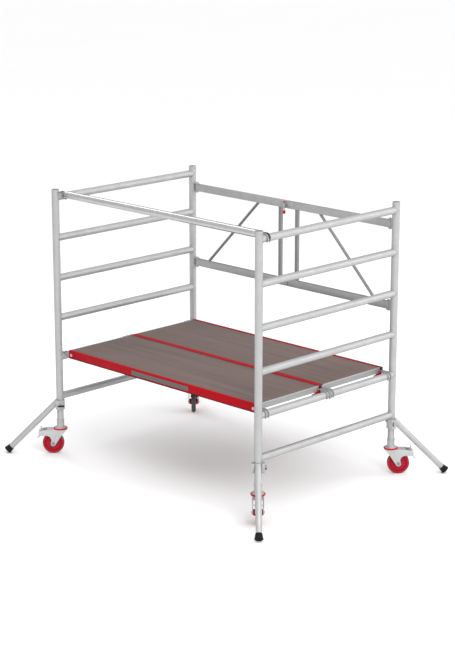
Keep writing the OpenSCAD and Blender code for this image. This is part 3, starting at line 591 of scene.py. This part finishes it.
def castor_pieces(corner, sx, sy):
    place = corner_place(sx, sy)
    turn = place.to_3x3()
    across = turn @ Vector((0, 1, 0))
    axle = place @ Vector((WHEEL_TRAIL, 0, WHEEL_RADIUS))
    # wheel centre: a dished disc with its ribs, and the rim round it behind a deep groove
    half = [(0.0062, -0.0312), (0.0185, -0.0312), (0.0205, -0.0292), (0.0215, -0.0160), (0.0300, -0.0118),
            (0.0430, -0.0110), (0.0480, -0.0124), (0.0512, -0.0118), (0.0522, -0.0060)]
    disc = rounded_profile(half + [(r, -h) for r, h in reversed(half)], 0.0012)
    half = [(0.0515, -0.0040), (0.0562, -0.0046), (0.0572, -0.0150), (0.0590, -0.0160), (0.0672, -0.0160),
            (0.0692, -0.0148)]
    rim = rounded_profile(half + [(r, -h) for r, h in reversed(half)], 0.0010)

    def centre(shape):
        turned(shape, disc, axle, across, 96)
        for s in (-1, 1):
            for k in range(8):
                a = 2 * math.pi * (k + 0.5) / 8
                inner = Matrix.Rotation(a, 3, across) @ (turn @ Vector((0.024, 0, 0)))
                outer = Matrix.Rotation(a, 3, across) @ (turn @ Vector((0.0475, 0, 0)))
                path = [axle + inner.lerp(outer, t / 4) + across * s * (0.0128 - 0.0012 * t / 4)
                        for t in range(5)]
                sweep(shape, path, 0.0018, 8, False)

    piece = mesh_piece(f"wheel_disc_{corner}", centre)
    finish_piece(piece, f"wheel_{corner}", "red_disc")
    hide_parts(f"hub_{corner}")
    piece = mesh_piece(f"wheel_rim_{corner}", lambda shape: turned(shape, rim, axle, across, 96))
    finish_piece(piece, f"wheel_{corner}", "red_plastic")
    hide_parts(f"hub_{corner}")
    tread = [(0.0690, -0.0152), (0.0715, -0.0156), (0.0738, -0.0140), (0.0747, -0.0105), (0.0750, -0.0060),
             (0.0750, 0.0060), (0.0747, 0.0105), (0.0738, 0.0140), (0.0715, 0.0156), (0.0690, 0.0152)]
    tread = rounded_profile(tread, 0.001)
    piece = mesh_piece(f"tread_{corner}", lambda shape: turned(shape, tread, axle, across, 128))
    finish_piece(piece, f"wheel_{corner}", "tread")
    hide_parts(f"tyre_{corner}")

    def is_fork(part):
        z = [v.co.z for v in part]
        return min(z) < 0.07 and max(z) > 0.17

    def is_ring(part):
        return min(v.co.z for v in part) > 0.17

    eased_copy(f"fork_{corner}", "zinc", 0.0014, 3, is_fork, "pressing")
    eased_copy(f"fork_{corner}", "red_plastic", 0.0018, 3, is_ring, "dust_ring")

    def axle_parts(shape):
        turned(shape, [(0.0060, -0.0365), (0.0060, 0.0365)], axle, across, 32)
        for s in (-1, 1):
            turned(shape, [(0.0, 0.0361), (0.0120, 0.0361), (0.0122, 0.0368), (0.0120, 0.0374), (0.0, 0.0374)],
                   axle, across * s, 40)
            turned(shape, [(0.0, 0.0374), (0.0098, 0.0374), (0.0100, 0.0382), (0.0100, 0.0400),
                           (0.0088, 0.0411), (0.0, 0.0411)], axle, across * s, 6)

    piece = mesh_piece(f"axle_bolt_{corner}", axle_parts)
    finish_piece(piece, f"castor_{corner}", "bolt")

    def arm_ribs(shape):
        for s in (-1, 1):
            path = [place @ Vector((x, s * 0.0362, z)) for x, z in
                    ((0.018, 0.163), (0.024, 0.148), (0.032, 0.130), (0.040, 0.112), (0.046, 0.098),
                     (0.049, 0.091))]
            sweep(shape, path, 0.0022, 10, False)

    piece = mesh_piece(f"fork_ribs_{corner}", arm_ribs)
    finish_piece(piece, f"castor_{corner}", "zinc")
    eased_copy(f"pedal_{corner}", "zinc", 0.0016, 3)


# ---------------------------------------------------------------- legs, stabilisers, feet

def leg_and_stabiliser(corner, sx, sy):
    eased_copy(f"leg_{corner}", "post", 0.0006)
    eased_copy(f"stabiliser_{corner}", "post", 0.0012)
    eased_copy(f"clamp_lever_{corner}", "black", 0.0014, 3)
    place = corner_place(sx, sy)
    top = place @ Vector((0, 0, 0.392))
    along = (place.to_3x3() @ Vector((1, 0, -1))).normalized()
    sole = 0.5289

    def ribbed_foot(shape):
        profile = [(0.0201, -0.040), (0.0211, -0.040), (0.0216, -0.038)]
        for k in range(5):
            start, r = -0.0355 + k * 0.0054, 0.0217 + k * 0.0008
            profile += [(r, start), (r + 0.0010, start + 0.0008), (r + 0.0012, start + 0.0030),
                        (r + 0.0004, start + 0.0038)]
        profile += [(0.0268, -0.0082), (0.0283, -0.0070), (0.0285, -0.0050), (0.0285, -0.0034),
                    (0.0268, -0.0016), (0.0254, 0.0)]
        for k in range(4):
            r = 0.0225 - k * 0.0052
            profile += [(r, 0.0), (r - 0.0006, -0.0010), (r - 0.0020, -0.0010), (r - 0.0026, 0.0)]
        profile.append((0.0, 0.0))
        turned(shape, profile, top + along * sole, along, 72)

    piece = mesh_piece(f"ribbed_foot_{corner}", ribbed_foot)
    finish_piece(piece, f"stabiliser_{corner}", "rubber")
    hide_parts(f"foot_{corner}")


# ---------------------------------------------------------------- folding brace

def brace_pieces():
    for side in ("left", "right"):
        eased_copy(f"brace_{side}", "brace", 0.0010)
    eased_copy("brace_pins", "zinc", 0.0008)
    low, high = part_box("lock_pin")
    centre = Vector(((low.x + high.x) / 2, (low.y + high.y) / 2, low.z))
    up = (0, 0, 1)
    shank = [(0.0, 0.0725), (0.0036, 0.0720), (0.0050, 0.0705), (0.0050, 0.0509), (0.0069, 0.0507),
             (0.0070, 0.0495), (0.0069, 0.0480), (0.0050, 0.0478), (0.0050, 0.0292), (0.0072, 0.0290),
             (0.0075, 0.0282), (0.0075, 0.0245), (0.0072, 0.0238), (0.0, 0.0238)]
    piece = mesh_piece("lock_pin_shank", lambda shape: turned(shape, shank, centre, up, 40))
    finish_piece(piece, "brace_lock", "zinc")
    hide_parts("lock_pin")
    knob = [(0.0, 0.0), (0.0082, 0.0), (0.0098, 0.0010), (0.0104, 0.0026)]
    for k in range(4):
        knob += [(0.0104, 0.0052 + k * 0.0036), (0.0097, 0.0059 + k * 0.0036), (0.0097, 0.0071 + k * 0.0036),
                 (0.0104, 0.0078 + k * 0.0036)]
    knob += [(0.0104, 0.0215), (0.0096, 0.0233), (0.0080, 0.0240), (0.0, 0.0240)]
    piece = mesh_piece("lock_knob", lambda shape: turned(shape, knob, centre, up, 48))
    finish_piece(piece, "brace_lock", "red_plastic")
    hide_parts("lock_pin")
    cap = [(0.0076, 0.0790), (0.0083, 0.0792), (0.0085, 0.0798), (0.0085, 0.0840), (0.0080, 0.0856),
           (0.0060, 0.0864), (0.0, 0.0866)]
    piece = mesh_piece("lock_cap", lambda shape: turned(shape, cap, centre, up, 40))
    finish_piece(piece, "brace_right_half", "red_plastic")
    for side, s in (("left", -1), ("right", 1)):

        def pin_ends(shape):
            for z in (BRACE_TOP, BRACE_BOTTOM):
                for way in (-1, 1):
                    end = (s * 0.907, BRACE_LINE, z + way * 0.0318)
                    turned(shape, [(0.0, 0.0), (0.0092, 0.0), (0.0092, 0.0012), (0.0080, 0.0040),
                                   (0.0050, 0.0062), (0.0, 0.0070)], end, (0, 0, way), 36)

        piece = mesh_piece(f"brace_{side}_end_pins", pin_ends)
        finish_piece(piece, f"{side}_frame", "bolt")
        piece = mesh_piece(f"brace_{side}_welds", lambda shape: brace_beads(shape, s))
        finish_piece(piece, f"brace_{side}_half", "weld")


def brace_beads(shape, s):
    """Beads round the upright's ends and the diagonal's ends."""
    top, bottom = BRACE_TOP - BRACE_RAIL / 2, BRACE_BOTTOM + BRACE_RAIL / 2
    for z in (top, bottom):
        path = []
        for cx, cy, start in ((1, 1, 0), (-1, 1, 90), (-1, -1, 180), (1, -1, 270)):
            for k in range(4):
                a = math.radians(start + k * 30)
                path.append(Vector((s * (0.078 + cx * 0.0105 + 0.0020 * math.cos(a)),
                                    BRACE_LINE + cy * 0.0085 + 0.0020 * math.sin(a), z)))
        sweep(shape, dense(path, 0.003), 0.0018, 8, True, 0.25)
    for x, z in ((0.290, top), (0.785, bottom)):
        path = [Vector((s * (x + 0.0146 * math.cos(a)), BRACE_LINE + 0.0104 * math.sin(a), z))
                for a in (2 * math.pi * k / 40 for k in range(40))]
        sweep(shape, path, 0.0018, 8, True, 0.25)


def dense(path, step):
    """The closed path with points added so that none are further apart than step."""
    out = []
    for a, b in zip(path, path[1:] + path[:1]):
        parts = max(1, math.ceil((b - a).length / step))
        out += [a.lerp(b, k / parts) for k in range(parts)]
    return out


# ---------------------------------------------------------------- guard rail and decks

def guard_pieces():
    coat_node("guard_rail", "rail")

    def is_liner(part):
        return max(v.co.y for v in part) - min(v.co.y for v in part) < 0.020

    eased_copy("guard_hooks", "casting", 0.0012, 2, lambda part: not is_liner(part), "plates")
    eased_copy("guard_hooks", "black", 0.0008, 2, is_liner, "liners")
    for side in ("left", "right"):
        eased_copy(f"guard_latch_{side}", "black", 0.0010)


def deck_pieces(deck):
    eased_copy(f"{deck}_deck_beams", "red_coat", 0.0010)
    eased_copy(f"{deck}_deck_ends", "rung", 0.0010)
    eased_copy(f"{deck}_deck_board", "board", 0.0010)
    eased_copy(f"{deck}_deck_hooks", "casting", 0.0014)
    eased_copy(f"{deck}_deck_bolts", "zinc", 0.0005)
    eased_copy(f"{deck}_deck_windlock", "red_coat", 0.0010)


def deck_details(deck):
    """Windlock pivot, board rivets, bolt washers, a thin black strip low on the outer face as painted shadow
    under the beam, and black blocks at the beam ends as painted shadow inside the open top flange.
    """
    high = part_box(f"{deck}_deck_windlock")[1]
    y0, y1 = high.y - 0.0095, high.y + 0.0012
    long = y1 - y0

    def pivot(shape):
        turned(shape, [(0.0, 0.0), (0.0058, 0.0), (0.0066, 0.0008), (0.0066, long - 0.0008), (0.0058, long),
                       (0.0, long)], (0.915, y0, 0.718), (0, 1, 0), 28)

    piece = mesh_piece(f"{deck}_windlock_pivot", pivot)
    finish_piece(piece, f"{deck}_deck_windlock", "black")
    beam_low, beam_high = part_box(f"{deck}_deck_beams")

    def rivets(shape):
        for y in (beam_low.y + 0.0125, beam_high.y - 0.0125):
            for k in range(9):
                x = beam_low.x + 0.075 + (beam_high.x - beam_low.x - 0.15) * k / 8
                turned(shape, [(0.0042, -0.0002), (0.0042, 0.0002), (0.0034, 0.0009), (0.0018, 0.0013),
                               (0.0, 0.0014)], (x, y, beam_high.z), (0, 0, 1), 20)

    piece = mesh_piece(f"{deck}_board_rivets", rivets)
    finish_piece(piece, f"{deck}_deck", "red_coat")
    outer = -1 if deck == "front" else 1
    edge = beam_low.y if outer < 0 else beam_high.y

    def washers(shape):
        for x in (-0.872, 0.872):
            turned(shape, [(0.0, 0.0), (0.0105, 0.0), (0.0110, 0.0004), (0.0108, 0.0013), (0.0100, 0.0016),
                           (0.0, 0.0016)], (x, edge, 0.713), (0, outer, 0), 40)

    piece = mesh_piece(f"{deck}_bolt_washers", washers)
    finish_piece(piece, f"{deck}_deck", "zinc")

    # Painted shadow: a thin black strip along the bottom of the outer face stands for the shade in the recess
    # under the beam.
    def shadow_strip(shape):
        z0, z1 = beam_low.z + 0.0015, beam_low.z + 0.0070
        bar(shape, (beam_low.x + 0.003, beam_high.x - 0.003), (edge, edge + outer * 0.0004), (z0, z1))

    piece = mesh_piece(f"{deck}_painted_shadow_strip", shadow_strip)
    finish_piece(piece, f"{deck}_deck", "rubber", False)

    # Painted shadow: black blocks at the top of each beam end stand for the shade inside the open top flange.
    def end_shadow_blocks(shape):
        for sign in (-1, 1):
            end = beam_high.x * sign
            bar(shape, (end, end + 0.008 * sign), (beam_high.y - 0.022, beam_high.y - 0.001),
                (beam_high.z - 0.024, beam_high.z - 0.001))

    piece = mesh_piece(f"{deck}_beam_end_shadow", end_shadow_blocks)
    finish_piece(piece, f"{deck}_deck", "black")


def bar(shape, xs, ys, zs):
    """A straight bar between the given limits."""
    corners = [shape.verts.new((x, y, z)) for x in xs for y in ys for z in zs]
    for face in ((0, 1, 3, 2), (4, 6, 7, 5), (0, 4, 5, 1), (2, 3, 7, 6), (0, 2, 6, 4), (1, 5, 7, 3)):
        shape.faces.new([corners[k] for k in face])


def label_strip():
    """The bare film strip on the front beam's outer face, with rounded corners."""
    low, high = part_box("front_deck_beams")

    def film(shape):
        x0, x1, z0, z1, r = -0.256, 0.286, high.z - 0.044, high.z - 0.014, 0.004
        outline = []
        corners = ((x1 - r, z1 - r, 0), (x0 + r, z1 - r, 90), (x0 + r, z0 + r, 180), (x1 - r, z0 + r, 270))
        for x, z, start in corners:
            for k in range(6):
                a = math.radians(start + k * 18)
                outline.append((x + r * math.cos(a), z + r * math.sin(a)))
        back = [shape.verts.new((x, low.y, z)) for x, z in outline]
        front = [shape.verts.new((x, low.y - 0.0003, z)) for x, z in outline]
        shape.faces.new(front)
        shape.faces.new(list(reversed(back)))
        for k in range(len(outline)):
            n = (k + 1) % len(outline)
            shape.faces.new((front[k], front[n], back[n], back[k]))

    piece = mesh_piece("bare_label_strip", film)
    finish_piece(piece, "front_deck", "label", False)


def lay_floor():
    mesh = bpy.data.meshes.new("studio_floor")
    mesh.from_pydata([(-90, -90, 0), (90, -90, 0), (90, 90, 0), (-90, 90, 0)], [], [(0, 1, 2, 3)])
    floor = bpy.data.objects.new("studio_floor", mesh)
    floor.location.z = -0.0005
    bpy.context.scene.collection.objects.link(floor)
    material, tree, shader = new_material("pale_floor")
    where = tree.nodes.new("ShaderNodeTexCoord").outputs["Object"]
    shade = noise_node(tree, where, 0.6, 2)
    tree.links.new(mix_color(tree, shade, (0.93, 0.93, 0.93), (0.95, 0.95, 0.95)), shader.inputs["Base Color"])
    shader.inputs["Roughness"].default_value = 0.7
    mesh.materials.append(material)


place_camera()
light_studio()
frame_pieces("left")
frame_pieces("right")
for corner, (sx, sy) in CORNERS.items():
    castor_pieces(corner, sx, sy)
    leg_and_stabiliser(corner, sx, sy)
brace_pieces()
guard_pieces()
for deck in ("front", "rear"):
    deck_pieces(deck)
for deck in ("front", "rear"):
    deck_details(deck)
label_strip()
lay_floor()
